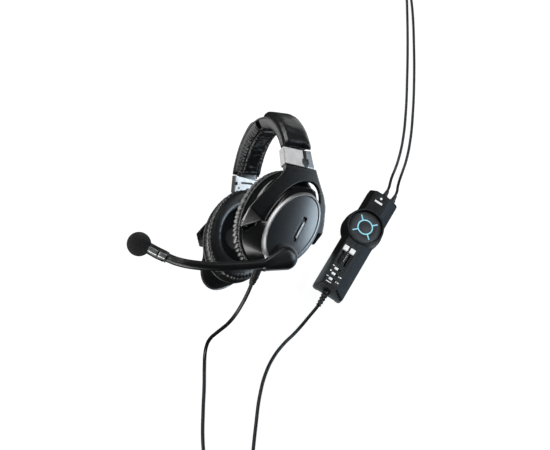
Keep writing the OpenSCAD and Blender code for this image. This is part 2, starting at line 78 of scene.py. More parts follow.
def module_point(w, l, n):
    """A point of the control module: w across, l along, n out of its face."""
    turned = Matrix.Rotation(MODULE_TURN, 3, "Z") @ Matrix.Rotation(-MODULE_ROLL, 3, "Y")
    return Vector(MODULE_O) + turned @ Vector((w, l, n))


def leaned(x, y, z):
    """Leans a point of a cushion, and what is behind it, against the flat cover."""
    dy, dz = y - WEDGE_Y, z - CUSHION_OUT
    c, s = math.cos(WEDGE), math.sin(WEDGE)
    return x, WEDGE_Y + dy * c - dz * s, CUSHION_OUT + dy * s + dz * c


def on_oval(centre, lean, a, b, turn):
    """A point of a leaning oval, at an angle round it."""
    x, y = b * math.cos(turn), a * math.sin(turn)
    c, s = math.cos(lean), math.sin(lean)
    return centre[0] + x * c + y * s, centre[1] - x * s + y * c


def on_band(angle, radius, x):
    """A point of the headband, its angle in degrees from the crown."""
    a = math.radians(angle)
    return x, radius * math.cos(a), radius * math.sin(a)


# ---- materials ---------------------------------------------------------------------------


def grid_of(nodes, links, stretch=None):
    """Object coordinates, stretched along an axis if asked."""
    coords = nodes.new("ShaderNodeTexCoord").outputs["Object"]
    if stretch is None:
        return coords
    mapping = nodes.new("ShaderNodeMapping")
    mapping.inputs["Scale"].default_value = stretch
    links.new(coords, mapping.inputs["Vector"])
    return mapping.outputs["Vector"]


def pattern(nodes, links, kind, scale, coords):
    """A noise or cell pattern with that many cells in a metre."""
    if kind == "cells":
        texture = nodes.new("ShaderNodeTexVoronoi")
        output = texture.outputs["Distance"]
    else:
        texture = nodes.new("ShaderNodeTexNoise")
        texture.inputs["Detail"].default_value = 4
        output = texture.outputs["Fac"]
    texture.inputs["Scale"].default_value = scale
    links.new(coords, texture.inputs["Vector"])
    return output


def finish_material(name, dark, light, rough, layers=(), mottle=120, stretch=None, **sockets):
    """A material whose colour and roughness vary between two values, with layers of (kind, cells in a
    metre, height in metres) for its grain. Other sockets of the shader are given by name."""
    material = bpy.data.materials.new(name)
    material.use_nodes = True
    nodes, links = material.node_tree.nodes, material.node_tree.links
    shader = nodes["Principled BSDF"]
    for socket, value in sockets.items():
        shader.inputs[socket.replace("_", " ")].default_value = value
    coords = grid_of(nodes, links, stretch)
    mottling = pattern(nodes, links, "noise", mottle, coords)
    ramp = nodes.new("ShaderNodeValToRGB")
    ramp.color_ramp.elements[0].position, ramp.color_ramp.elements[1].position = 0.35, 0.65
    ramp.color_ramp.elements[0].color, ramp.color_ramp.elements[1].color = (*dark, 1), (*light, 1)
    links.new(mottling, ramp.inputs["Fac"])
    links.new(ramp.outputs["Color"], shader.inputs["Base Color"])
    spread = nodes.new("ShaderNodeMapRange")
    spread.inputs["To Min"].default_value, spread.inputs["To Max"].default_value = rough
    links.new(pattern(nodes, links, "noise", mottle * 3, coords), spread.inputs["Value"])
    links.new(spread.outputs["Result"], shader.inputs["Roughness"])
    normal = None
    for kind, scale, height in layers:
        bump = nodes.new("ShaderNodeBump")
        bump.inputs["Distance"].default_value = height
        links.new(pattern(nodes, links, kind, scale, coords), bump.inputs["Height"])
        if normal is not None:
            links.new(normal, bump.inputs["Normal"])
        normal = bump.outputs["Normal"]
    if normal is not None:
        links.new(normal, shader.inputs["Normal"])
    return material


def grey(value, blue=1.0):
    """A grey, tinted blue when blue is over 1."""
    return value, value * (1 + (blue - 1) / 2), value * blue


FINISHES = {
    "cushion": finish_material(
        "pleated_leatherette", grey(0.006), grey(0.01), (0.3, 0.38),
        [("noise", 260, 0.00012), ("cells", 1700, 0.00003)], Coat_Weight=0.2, Coat_Roughness=0.15),
    "band_leather": finish_material(
        "band_leather", grey(0.006), grey(0.011, 1.1), (0.3, 0.42),
        [("cells", 1300, 0.00004), ("noise", 90, 0.0002)], Coat_Weight=0.1, Coat_Roughness=0.25),
    "pad_leather": finish_material(
        "pad_leather", grey(0.006), grey(0.011), (0.24, 0.36),
        [("noise", 240, 0.00015), ("cells", 1500, 0.00003)], Coat_Weight=0.1, Coat_Roughness=0.2),
    "baffle_cloth": finish_material(
        "speaker_cloth", grey(0.003), grey(0.006), (0.8, 0.95),
        [("cells", 1800, 0.0002)], Specular_IOR_Level=0.2),
    "shell": finish_material(
        "shell_plastic", grey(0.006), grey(0.009, 1.1), (0.17, 0.22), [("noise", 900, 0.00001)]),
    "yoke": finish_material(
        "yoke_plastic", grey(0.006), grey(0.009, 1.1), (0.2, 0.26), [("noise", 1600, 0.00002)]),
    "panel": finish_material(
        "oval_cover", grey(0.09, 1.1), grey(0.12, 1.15), (0.26, 0.32), [("noise", 2600, 0.00001)],
        mottle=1400, Metallic=0.9),
    "bright_trim": finish_material(
        "bright_rim", grey(0.3), grey(0.36), (0.38, 0.45), [("noise", 1400, 0.00001)], Metallic=1.0),
    "driver": finish_material("capsule", grey(0.006), grey(0.01), (0.5, 0.6), [("noise", 900, 0.00004)]),
    "slide_steel": finish_material(
        "slide_steel", grey(0.3), grey(0.42), (0.28, 0.4), [("noise", 900, 0.00003)],
        stretch=(1, 1, 0.06), Metallic=1.0),
    "band_core": finish_material(
        "band_core", grey(0.02), grey(0.03), (0.45, 0.6), [("noise", 1400, 0.00005)]),
    "piping": finish_material(
        "piping", grey(0.09), grey(0.14), (0.3, 0.4), [("noise", 900, 0.00006)]),
    "block_metal": finish_material(
        "satin_aluminium", grey(0.5), grey(0.6), (0.3, 0.4), [("noise", 2200, 0.00003)],
        Metallic=0.85),
    "badge": finish_material("badge_plastic", grey(0.015, 1.2), grey(0.03, 1.2), (0.3, 0.4)),
    "screw_steel": finish_material(
        "screw_steel", grey(0.02), grey(0.035), (0.3, 0.4), [("noise", 2500, 0.00002)], Metallic=0.8),
    "boom": finish_material(
        "boom_plastic", grey(0.006), grey(0.011, 1.1), (0.3, 0.38), [("noise", 1400, 0.00004)]),
    "foam": finish_material(
        "foam", grey(0.002), grey(0.01), (0.9, 1.0), [("cells", 900, 0.0008)], mottle=900,
        Sheen_Weight=0.1),
    "module_case": finish_material(
        "module_plastic", grey(0.005), grey(0.009, 1.1), (0.36, 0.44), [("cells", 1900, 0.0001)],
        mottle=1800, Specular_IOR_Level=0.3),
    "button": finish_material(
        "button_plastic", grey(0.012, 1.1), grey(0.02, 1.1), (0.38, 0.46),
        [("cells", 1900, 0.00008)], mottle=1800),
    # White plastic with a painted glow: its emission lifts it as extra light would, though it is no lamp.
    "white": finish_material(
        "white_plastic_painted_glow", grey(0.8), grey(0.86), (0.3, 0.4), [("noise", 1200, 0.00003)],
        Emission_Color=(1, 1, 1, 1), Emission_Strength=0.45),
    "pcb": finish_material("circuit_board", (0.01, 0.09, 0.03), (0.02, 0.14, 0.05), (0.3, 0.4)),
    "cells": finish_material("cell_wrap", grey(0.01), grey(0.02), (0.4, 0.5)),
    "relief_rubber": finish_material(
        "relief_rubber", grey(0.007), grey(0.012), (0.42, 0.55), [("noise", 1500, 0.00005)]),
    "cord": finish_material(
        "cord_sheath", grey(0.007), grey(0.011), (0.34, 0.44), [("noise", 800, 0.00006)]),
    "plug_body": finish_material(
        "plug_plastic", grey(0.01), grey(0.016), (0.34, 0.44), [("noise", 1500, 0.00004)]),
    "plug_metal": finish_material(
        "plated_brass", (0.62, 0.44, 0.18), (0.72, 0.54, 0.24), (0.16, 0.24),
        [("noise", 1500, 0.00001)], Metallic=1.0),
}


def lit_material(name, color, strength):
    """A lit light guide, evenly bright."""
    material = finish_material(name, color, color, (0.3, 0.4))
    shader = material.node_tree.nodes["Principled BSDF"]
    shader.inputs["Emission Color"].default_value = (*color, 1)
    shader.inputs["Emission Strength"].default_value = strength
    return material


FINISHES["glow"] = lit_material("lit_guide", (0.24, 0.56, 0.66), 0.75)
for slot, material in FINISHES.items():
    for node in NODES:
        if SLOT_OF[node] == slot:
            NODES[node].data.materials.clear()
            NODES[node].data.materials.append(material)

# ---- mesh helpers ------------------------------------------------------------------------


def dress(obj, node, stands_for=(), slot=None):
    """Gives a new piece the finish and the body of a CAD node, and hides the nodes that it stands for."""
    obj.data.materials.clear()
    obj.data.materials.append(FINISHES[slot or SLOT_OF[node]])
    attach(obj, BODY_OF[node])
    if stands_for:
        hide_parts(*stands_for)
    return obj


def new_object(name, mesh):
    """A new object in the scene."""
    obj = bpy.data.objects.new(name, mesh)
    bpy.context.scene.collection.objects.link(obj)
    return obj


def solid(name, points, faces):
    """A smooth closed mesh from points in millimetres of the headset's frame."""
    mesh = bpy.data.meshes.new(name)
    mesh.from_pydata([place(*p) for p in points], [], faces)
    work = bmesh.new()
    work.from_mesh(mesh)
    bmesh.ops.remove_doubles(work, verts=work.verts, dist=1e-7)
    bmesh.ops.recalc_face_normals(work, faces=work.faces)
    work.to_mesh(mesh)
    work.free()
    mesh.shade_smooth()
    mesh.set_sharp_from_angle(angle=math.radians(50))
    return new_object(name, mesh)


def net(rows, cols, wrap_rows=False, wrap_cols=True):
    """Faces of a grid of points."""
    return [
        (i * cols + j, i * cols + (j + 1) % cols,
         (i + 1) % rows * cols + (j + 1) % cols, (i + 1) % rows * cols + j)
        for i in range(rows if wrap_rows else rows - 1)
        for j in range(cols if wrap_cols else cols - 1)
    ]


def capped(rows, cols):
    """Faces of a tube-like grid with both ends closed."""
    return net(rows, cols) + [tuple(range(cols)), tuple(range((rows - 1) * cols, rows * cols))]


def smooth_path(points, steps):
    """Points of a smooth curve through the given ones."""
    p = [Vector(q) for q in points]
    made = []
    for i in range(len(p) - 1):
        a, b, c, d = p[max(i - 1, 0)], p[i], p[i + 1], p[min(i + 2, len(p) - 1)]
        for s in range(steps):
            t = s / steps
            made.append((b * 2 + (c - a) * t + (a * 2 - b * 5 + c * 4 - d) * t * t
                         + (b * 3 - a - c * 3 + d) * t ** 3) / 2)
    return made + [p[-1]]


def turned_along(name, path, radii, sides=32):
    """A round piece whose radius follows radii along a path."""
    points = []
    for i, p in enumerate(path):
        along = (path[min(i + 1, len(path) - 1)] - path[max(i - 1, 0)]).normalized()
        u = along.cross(Vector((0, 0, 1))).normalized()
        v = along.cross(u)
        for k in range(sides):
            a = 2 * math.pi * k / sides
            points.append(p + radii[i] * (u * math.cos(a) + v * math.sin(a)))
    return solid(name, points, capped(len(path), sides))


def applied(obj):
    """Applies an object's modifiers."""
    depsgraph = bpy.context.evaluated_depsgraph_get()
    mesh = bpy.data.meshes.new_from_object(obj.evaluated_get(depsgraph))
    obj.modifiers.clear()
    obj.data = mesh
    return obj


def joined(name, parts):
    """One object from several."""
    work = bmesh.new()
    for part in parts:
        work.from_mesh(part.data)
        bpy.data.objects.remove(part)
    mesh = bpy.data.meshes.new(name)
    work.to_mesh(mesh)
    work.free()
    return new_object(name, mesh)


def softened(node, voxel, rounds):
    """Stands for a CAD node with a copy whose edges are rounded: remeshed, then relaxed."""
    obj = new_object(node + "_moulded", NODES[node].data.copy())
    weld = obj.modifiers.new("weld", "WELD")
    weld.merge_threshold = 1e-6
    remesh = obj.modifiers.new("remesh", "REMESH")
    remesh.mode, remesh.voxel_size, remesh.use_smooth_shade = "VOXEL", voxel / 1000, True
    relax = obj.modifiers.new("relax", "SMOOTH")
    relax.factor, relax.iterations = 0.5, rounds
    return dress(applied(obj), node, [node])


def bevelled(node, width, segments=2):
    """Rounds a CAD node's edges with a modifier; its mesh stays as it is."""
    obj = NODES[node]
    weld = obj.modifiers.new("weld", "WELD")
    weld.merge_threshold = 1e-6
    bevel = obj.modifiers.new("bevel", "BEVEL")
    bevel.width, bevel.segments, bevel.limit_method = width / 1000, segments, "ANGLE"
    bevel.angle_limit, bevel.harden_normals = math.radians(32), True
    obj.data.shade_smooth()


# ---- camera ------------------------------------------------------------------------------


def make_camera():
    """The photograph's view: 1.5 m away, from in front of the wearer and a little below the ear."""
    eye, target = place(-600.9, -353.8, 1354.8), place(0, -49.38, 14.62)
    back = (eye - target).normalized()
    right = Vector((0, 1, 0)).cross(back).normalized()
    data = bpy.data.cameras.new("camera")
    camera = bpy.data.objects.new("camera", data)
    bpy.context.scene.collection.objects.link(camera)
    turned = Matrix((right, back.cross(right), back)).transposed()
    camera.matrix_world = Matrix.Translation(eye) @ turned.to_4x4()
    data.sensor_width, data.lens = 36, 83.9
    data.clip_start, data.clip_end = 0.1, 20
    bpy.context.scene.camera = camera


make_camera()

# ---- cords -------------------------------------------------------------------------------

CORD_LOW = FLOOR_Z + MAIN_D / 2 + 0.1
LEAD_LOW = FLOOR_Z + LEAD_D / 2 + 0.1
MAIN_OUT = [
    (-48, -126.5, 60.5), (-50, -138, 52), (-53, -151, 40), (-54.5, -160, 26), (-54, -166.5, 5),
    (-52, -170, -20), (-50, -173, -45), (-48, -176, -66), (-46, -182, -83), (-44.5, -192, -93),
    (-44, -206, CORD_LOW), (-44, -230, CORD_LOW), (-45, -260, CORD_LOW), (-45, -295, CORD_LOW),
    (-42, -325, CORD_LOW), (-40, -350, CORD_LOW)]
MAIN_COIL = dict(centre=(-12, -368), radius=27, start=180, sweep=540)
MAIN_BACK = [
    (16, -345, CORD_LOW + 2), (20, -310, CORD_LOW), (24, -275, CORD_LOW), (29, -240, CORD_LOW),
    (37, -212, CORD_LOW), (48, -191, CORD_LOW), (62, -174, CORD_LOW), (76, -161, CORD_LOW),
    (86, -150, CORD_LOW + 1.5), (93.5, -139.5, -89.5), (98.5, -132, -84.5), (102.7, -125.6, -81)]
LEAD_A_OUT = [
    (204.6, 31.2, -80.9), (208.8, 38, -83.5), (214, 46, -89.5), (219, 55, -93.5), (225, 66, -95.6),
    (232, 84, LEAD_LOW), (239, 112, LEAD_LOW), (244, 150, LEAD_LOW), (247, 195, LEAD_LOW),
    (249, 245, LEAD_LOW), (249.5, 295, LEAD_LOW), (249, 330, LEAD_LOW)]
LEAD_B_OUT = [
    (214.4, 24.9, -78), (218.7, 31.8, -80.5), (224.5, 41, -88), (230, 51, -93), (236, 63, -95.6),
    (243, 81, LEAD_LOW), (250, 110, LEAD_LOW), (255, 150, LEAD_LOW), (258, 195, LEAD_LOW),
    (259, 245, LEAD_LOW), (258, 295, LEAD_LOW), (254.5, 330, LEAD_LOW)]
LEAD_A_COIL = dict(centre=(228, 356), radius=21, start=0, sweep=450)
LEAD_B_COIL = dict(centre=(228, 356), radius=25.2, start=0, sweep=450)
LEAD_A_END = [(216, 377.5, -92.2), (204, 378.5, -91.4), (192, 379, -91)]
LEAD_B_END = [(216, 384, -92.2), (204, 391, -91.4), (194, 397, -91)]


def coil_points(coil, low, diameter):
    """Turns of a coil; each full turn climbs on the one before, over its last quarter turn."""
    points = []
    steps = round(coil["sweep"] / 20)
    for i in range(steps + 1):
        swept = coil["sweep"] * i / steps
        a = math.radians(coil["start"] + swept)
        climb = min(max((swept - 250) / 90, 0), 1)
        lift = diameter * 1.04 * climb * climb * (3 - 2 * climb)
        points.append((coil["centre"][0] + coil["radius"] * math.cos(a),
                       coil["centre"][1] + coil["radius"] * math.sin(a), low + lift))
    return points


def make_cord(name, route, diameter, stands_for):
    """One open spline with a round section along a route."""
    data = bpy.data.curves.new(name, "CURVE")
    data.dimensions, data.bevel_depth, data.bevel_resolution = "3D", diameter / 2000, 5
    data.use_fill_caps, data.resolution_u = True, 8
    spline = data.splines.new("BEZIER")
    spline.bezier_points.add(len(route) - 1)
    for knot, p in zip(spline.bezier_points, route):
        knot.co = place(*p)
        knot.handle_left_type = knot.handle_right_type = "AUTO"
    return dress(new_object(name, data), stands_for[0], stands_for)


def make_tie(name, coil, width, height, at, node):
    """A flat strap round a coil's turns, from its inner to its outer radius."""
    a = math.radians(at)
    out = Vector((math.cos(a), math.sin(a), 0))
    side = Vector((-out.y, out.x, 0))
    middle = Vector((*coil["centre"], FLOOR_Z + height / 2 + 0.1)) + out * coil["radius"]
    points = []
    for across, grow in ((-4, 0.5), (-3.6, 1.1), (3.6, 1.1), (4, 0.5)):
        for k in range(32):
            t = 2 * math.pi * k / 32
            reach = out * (width / 2 + grow) * math.cos(t)
            rise = Vector((0, 0, max((height / 2 + grow) * math.sin(t), -height / 2 + 0.05)))
            points.append(middle + side * across + reach + rise)
    return dress(solid(name, points, capped(4, 32)), node)


main_route = MAIN_OUT + coil_points(MAIN_COIL, CORD_LOW, MAIN_D) + MAIN_BACK
lead_a_route = LEAD_A_OUT + coil_points(LEAD_A_COIL, LEAD_LOW, LEAD_D) + LEAD_A_END
lead_b_route = LEAD_B_OUT + coil_points(LEAD_B_COIL, LEAD_LOW, LEAD_D) + LEAD_B_END
main_cord = make_cord("main_cord_sheath", main_route, MAIN_D, ["main_cord", "main_coil"])
lead_a = make_cord("lead_a_sheath", lead_a_route, LEAD_D, ["lead_a", "lead_coil"])
lead_b = make_cord("lead_b_sheath", lead_b_route, LEAD_D, ["lead_b"])
main_tie = make_tie("main_tie", MAIN_COIL, 5, 9.4, 300, "main_cord")
lead_tie = make_tie("lead_tie", dict(LEAD_A_COIL, radius=23.1), 8.4, 7.8, 200, "lead_a")

# ---- ear cushions ------------------------------------------------------------------------

PLEATS = 57
GATHER_SINK = {1: 2.6, -1: 1.0}
GATHER_FROM, GATHER_OVER = 0.35, 0.5
WALL_POWER, FACE_POWER, FOLD_POWER = 0.5, 0.62, 0.55
WALL_PROUD, FACE_CREASE = 0.9, 0.3
BEAD_R, BEAD_IN, BEAD_BACK = 1.1, 1.2, 1.6


def pleat(turn, wobble):
    """Depth from 0 to 1 of the gathers at an angle round a cushion: round folds, sharp valleys."""
    phase = PLEATS / 2 * turn + 0.7 * math.sin(5 * turn + wobble) + 0.35 * math.sin(17 * turn)
    return 1 - abs(math.sin(phase)) ** FOLD_POWER


def make_cushion(side):
    """A padded ring, gathered along its outer wall, that creases across its face."""
    rows, cols = 44, PLEATS * 14
    middle_rho, half_w = CUP_A + WALL_PROUD - CUSHION_W / 2, CUSHION_W / 2
    middle_z, half_z = (CUSHION_IN + CUSHION_OUT) / 2, (CUSHION_OUT - CUSHION_IN) / 2
    points = []
    for i in range(rows):
        round_it = 2 * math.pi * i / rows
        c, s = math.cos(round_it), math.sin(round_it)
        out = math.copysign(abs(c) ** WALL_POWER, c)
        back = math.copysign(abs(s) ** FACE_POWER, s)
        gathered = max(0.0, min(1.0, (out - GATHER_FROM) / GATHER_OVER))
        creased = max(0.0, -back) ** 0.5
        for j in range(cols):
            turn = 2 * math.pi * j / cols
            slant = 0.035 * back + 0.02 * math.sin(9 * turn) * out
            fold = pleat(turn + slant, 1.3 * side)
            crease = noise.noise(Vector((7 * math.cos(turn), 7 * math.sin(turn), 0.9 * out + 9 * side)))
            sink = GATHER_SINK[side] * gathered * fold
            sink += FACE_CREASE * creased * max(0.0, crease) * (1 + gathered)
            rho = middle_rho + (half_w - sink) * out
            depth = middle_z + (half_z - 0.4 * sink) * back
            x, y = on_oval(CUP_C, CUP_LEAN, rho, rho * CUP_B / CUP_A, turn)
            x, y, z = leaned(x, y, depth)
            points.append((x, y, z * side))
    node = SIDE_NAME[side] + "_cushion"
    cushion = solid(node + "_pleated", points, net(rows, cols, wrap_rows=True))
    dress(cushion, node, [node])


def make_seal_bead(side):
    """The welt between a cushion and its shell."""
    rows, cols = 12, 200
    points = []
    for i in range(rows):
        a = 2 * math.pi * i / rows
        for j in range(cols):
            turn = 2 * math.pi * j / cols
            rho = CUP_A - BEAD_IN + BEAD_R * math.cos(a)
            x, y = on_oval(CUP_C, CUP_LEAN, rho, rho * CUP_B / CUP_A, turn)
            x, y, z = leaned(x, y, CUSHION_OUT + BEAD_BACK + BEAD_R * math.sin(a))
            points.append((x, y, z * side))
    node = SIDE_NAME[side] + "_baffle"
    dress(solid(node + "_bead", points, net(rows, cols, wrap_rows=True)), node, slot="piping")


# ---- headband ----------------------------------------------------------------------------

COVER_FIRST, COVER_LAST = 13.5, 68
COVER_RISE, COVER_SEAT, COVER_TOP_SHARE = 7.1, 1.1, 0.7
COVER_END_ROLL, COVER_REAR_DROP = 3.5, 2.0
WELT_X, WELT_HALF, WELT_SINK = 14.6, 0.7, 0.5
PAD_FIRST, PAD_LAST, PAD_BACK_R = 4, 66, 79.3
PAD_EDGE_ROLL, PAD_CROWN_R, PAD_CROWN_C = 12.8, 25, 87
PAD_CHANNEL_X, PAD_CHANNEL_SINK = 9.8, 2.0
PAD_CREASE_X, PAD_CREASE_SINK = 13.2, 1.4


def cover_profile(t):
    """Section of an outer cover at t from 0 to 1 round it: (x, height above its flat underside)."""
    if t < COVER_TOP_SHARE:
        x = -1 + 2 * t / COVER_TOP_SHARE
        return BAND_HALF * math.copysign(abs(x) ** 0.85, x), COVER_RISE * (1 - abs(x) ** 4.5) ** 0.55
    return BAND_HALF * (1 - 2 * (t - COVER_TOP_SHARE) / (1 - COVER_TOP_SHARE)), 0.0


def make_cover(side):
    """A leather cover over foam: crowned, rolled in at both ends, with a welt and soft dimples.

    Its lower end runs further down at the back, to meet the end block's slanted edge.
    """
    rows, cols = 110, 72
    points = []
    for i in range(rows):
        share = i / (rows - 1)
        from_end = min(share, 1 - share) * math.radians(COVER_LAST - COVER_FIRST) * BAND_R
        roll = min(1.0, from_end / COVER_END_ROLL)
        full = 0.55 + 0.45 * math.sqrt(1 - (1 - roll) ** 2)
        for j in range(cols):
            x, height = cover_profile(j / cols)
            rear = max(0.0, min(1.0, (x - 5) / 8))
            angle = COVER_FIRST + (COVER_LAST + COVER_REAR_DROP * rear - COVER_FIRST) * share
            dimple = 0.35 * noise.noise(Vector((x / 9, angle / 5, 3 * side)))
            welt = WELT_SINK * math.exp(-((abs(x) - WELT_X) / WELT_HALF) ** 2) * (height > 0.3)
            r = BAND_R - COVER_SEAT + (height - welt + (dimple if height > 2 else 0)) * full
            px, y, z = on_band(angle, r, x * (0.97 + 0.03 * full))
            points.append((px, y, z * side))
    node = SIDE_NAME[side] + "_cover"
    dress(solid(node + "_leather", points, capped(rows, cols)), node, [node])


def pad_depth(x, angle, side):
    """Height of an inner pad over its underside: an edge roll, a sewn channel and a full middle."""
    edge = abs(x) / PAD_HALF
    roll = PAD_EDGE_ROLL * (1 - edge ** 5) ** 0.5
    middle = PAD_BACK_R + 0.1 - (PAD_CROWN_C - math.sqrt(PAD_CROWN_R ** 2 - x * x))
    shape = min(middle, roll)
    channel = PAD_CHANNEL_SINK * math.exp(-((abs(x) - PAD_CHANNEL_X) / 0.9) ** 2)
    wave = math.sin(angle * 1.55 + 1.2 * math.sin(angle * 0.31 + side) + 0.06 * x)
    creases = PAD_CREASE_SINK * max(0.0, wave) ** 2 * math.exp(-((abs(x) - PAD_CREASE_X) / 3.4) ** 2)
    lumps = 0.8 * noise.noise(Vector((x / 7, angle / 3.5, 5 + side)))
    return max(0.4, shape - channel - creases - (lumps if edge < 0.9 else 0))


def make_pad(side):
    """A soft leather lining pad, wrinkled across its sewn edge rolls."""
    rows, cols = 260, 60
    inner = 40
    points = []
    for i in range(rows):
        share = i / (rows - 1)
        angle = PAD_FIRST + (PAD_LAST - PAD_FIRST) * share
        roll = min(1.0, min(share, 1 - share) * (PAD_LAST - PAD_FIRST) * 1.3 / 4)
        full = 0.5 + 0.5 * math.sqrt(1 - (1 - roll) ** 2)
        for j in range(cols):
            if j < inner:
                t = -1 + 2 * j / (inner - 1)
                x = PAD_HALF * math.sin(t * math.pi / 2)
                r = PAD_BACK_R - pad_depth(x, angle, side) * full
            else:
                x = PAD_HALF * (1 - 2 * (j - inner + 1) / (cols - inner + 1))
                r = PAD_BACK_R
            px, y, z = on_band(angle, r, x)
            points.append((px, y, z * side))
    node = SIDE_NAME[side] + "_pad"
    dress(solid(node + "_leather", points, capped(rows, cols)), node, [node])


# ---- cups --------------------------------------------------------------------------------

PANEL_DROP, PANEL_T = 1.6, 3
BAR_C, BAR_LEAN = (-7.6, -70.8), math.radians(-29)
SLOT_W, SLOT_L, SLOT_T = 5.2, 32, 2.6
BAR_W, BAR_L, BAR_OFF, BAR_CORNER = 1.8, 21, 1.3, 0.8
SCREW_X, SCREW_Y, BLOCK_FRONT = (-16.2, 12), 2, -17.1


def make_panel(side):
    """The oval cover, gently domed, with a slot for the accent bar."""
    rings, cols = 24, 144
    points = [(*COVER_C, COVER_Z * side)]
    for i in range(1, rings + 1):
        share = i / rings
        for j in range(cols):
            turn = 2 * math.pi * j / cols
            x, y = on_oval(COVER_C, COVER_LEAN, COVER_A * share, COVER_B * share, turn)
            points.append((x, y, (COVER_Z - PANEL_DROP * share ** 2.2) * side))
    low = len(points)
    for j in range(cols):
        x, y, _ = points[1 + (rings - 1) * cols + j]
        points.append((x, y, (COVER_Z - PANEL_T) * side))
    faces = [(0, 1 + j, 1 + (j + 1) % cols) for j in range(cols)]
    faces += [tuple(1 + k for k in face) for face in net(rings, cols)]
    faces += [(1 + (rings - 1) * cols + j, 1 + (rings - 1) * cols + (j + 1) % cols,
               low + (j + 1) % cols, low + j) for j in range(cols)]
    faces.append(tuple(low + j for j in range(cols)))
    node = SIDE_NAME[side] + "_panel"
    panel = solid(node + "_domed", points, faces)
    cutter = slanted_bar("slot_cutter", SLOT_W, SLOT_L, 0, COVER_Z - SLOT_T, 4, side)
    cut = panel.modifiers.new("slot", "BOOLEAN")
    cut.operation, cut.object, cut.solver = "DIFFERENCE", cutter, "EXACT"
    applied(panel)
    bpy.data.objects.remove(cutter)
    dress(panel, node, [node])


def slanted_bar(name, width, length, off, low, height, side):
    """A bar with round ends that lies across the oval cover."""
    outline = []
    for end in (1, -1):
        for k in range(13):
            a = math.pi * k / 12
            outline.append((width / 2 * math.cos(a) * end,
                            end * (length / 2 - BAR_CORNER + BAR_CORNER * math.sin(a))))
    points = []
    for z in (low, low + height):
        for x, y in outline:
            points.append((BAR_C[0] + (off + x) * math.cos(BAR_LEAN) - y * math.sin(BAR_LEAN),
                           BAR_C[1] + (off + x) * math.sin(BAR_LEAN) + y * math.cos(BAR_LEAN),
                           z * side))
    return solid(name, points, capped(2, len(outline)))


def make_trim(side):
    """The bright rim: a broad chamfer round the oval cover, and the accent bar."""
    node = SIDE_NAME[side] + "_trim"
    section = [(0.1, -1.7), (0.15, -0.6), (0.4, -0.15), (0.9, -0.1), (1.5, -0.5), (2.4, -1.35),
               (3.3, -2.3), (4.1, -3.3), (4.6, -4.3), (4.2, -5.2), (0.1, -5.2)]
    cols = 200
    points = []
    for grow, dz in section:
        for j in range(cols):
            turn = 2 * math.pi * j / cols
            x, y = on_oval(COVER_C, COVER_LEAN, COVER_A + grow, COVER_B + grow, turn)
            points.append((x, y, (COVER_Z + dz) * side))
    dress(solid(node + "_rim", points, net(len(section), cols, wrap_rows=True)), node, [node])
    bar = slanted_bar(node + "_bar", BAR_W, BAR_L, BAR_OFF, COVER_Z - SLOT_T + 0.1, 2.0, side)
    dress(bar, node, slot="block_metal")


def on_block(x, y, z, side):
    """A point of an end block: x to the back, y up the band, z = 0 on its outer face."""
    c, s = math.cos(BLOCK_TILT), math.sin(BLOCK_TILT)
    return x, y * c + (z + BAND_R) * s, side * ((z + BAND_R) * c - y * s)


def make_block_screws():
    """Socket screws in the inner faces of the end blocks, trimmed flush with the front edge."""
    parts = []
    for side in (1, -1):
        for x in SCREW_X:
            points = []
            for r, z in ((1.85, 1.05), (1.85, 0.35), (1.6, 0.1), (0.9, 0.1), (0.85, 0.7)):
                for k in range(24):
                    a = math.pi * k / 12
                    px = max(x + r * math.cos(a), BLOCK_FRONT)
                    points.append(on_block(px, SCREW_Y + r * math.sin(a), z - BLOCK_T, side))
            parts.append(solid("screw", points, capped(5, 24)))
    dress(joined("block_screws_turned", parts), "block_screws", ["block_screws"])


def make_painted_hole_shade(side, number, x0, x1, y, half):
    """A dark sheet with round ends in the inner face of an end block: painted shade that stands in for the
    shadow inside a slot or hole.
    """
    outline = []
    for end, x in ((1, x1), (-1, x0)):
        for k in range(9):
            a = math.pi * k / 8 - math.pi / 2
            outline.append((x + end * half * math.cos(a), y + end * half * math.sin(a)))
    points = [on_block(px, py, z, side) for z in (0.6 - BLOCK_T, -0.35 - BLOCK_T) for px, py in outline]
    node = SIDE_NAME[side] + "_block"
    dress(solid(f"{node}_hole_shade_{number}", points, capped(2, len(outline))), node, slot="badge")


def make_shells():
    """Moulded edges on the shells, the yokes and the end blocks."""
    for name in SIDE_NAME.values():
        softened(name + "_shell", 0.7, 6)
        softened(name + "_yoke", 0.6, 8)
        softened(name + "_block", 0.4, 3)


# ---- boom microphone ---------------------------------------------------------------------

BOOM_PATH = [(-52.5, -113.3, 104.5), (-74, -116.7, 103.2), (-108, -119.9, 100), (-133.5, -118.7, 95),
             (-147, -115.2, 88), (-155.5, -111, 82.5)]
MIC_PATH = [(-155.5, -111, 82.5), (-166, -106.4, 80), (-177, -100.6, 77.5)]
FOAM_C = Vector((-185.5, -97.2, 75))
FOAM_R = 13
HUB_C, HUB_TIP = Vector((-26, -105)), Vector((-52, -115.5))
HUB_R, HUB_Z, HUB_T = 13, COVER_Z + 1.8, 12
GLAND_PATH = [(-42.5, -109, 65), (-45, -118, 63), (-48, -126.5, 60.5), (-48.4, -128.8, 59)]


def make_boom():
    """The bent boom, a little thinner at the microphone, and its hub."""
    path = smooth_path(BOOM_PATH, 14)
    radii = [5.2 - 0.3 * i / len(path) for i in range(len(path))]
    dress(turned_along("boom_tube_smooth", path, radii), "boom_tube", ["boom_tube"])
    make_hub()


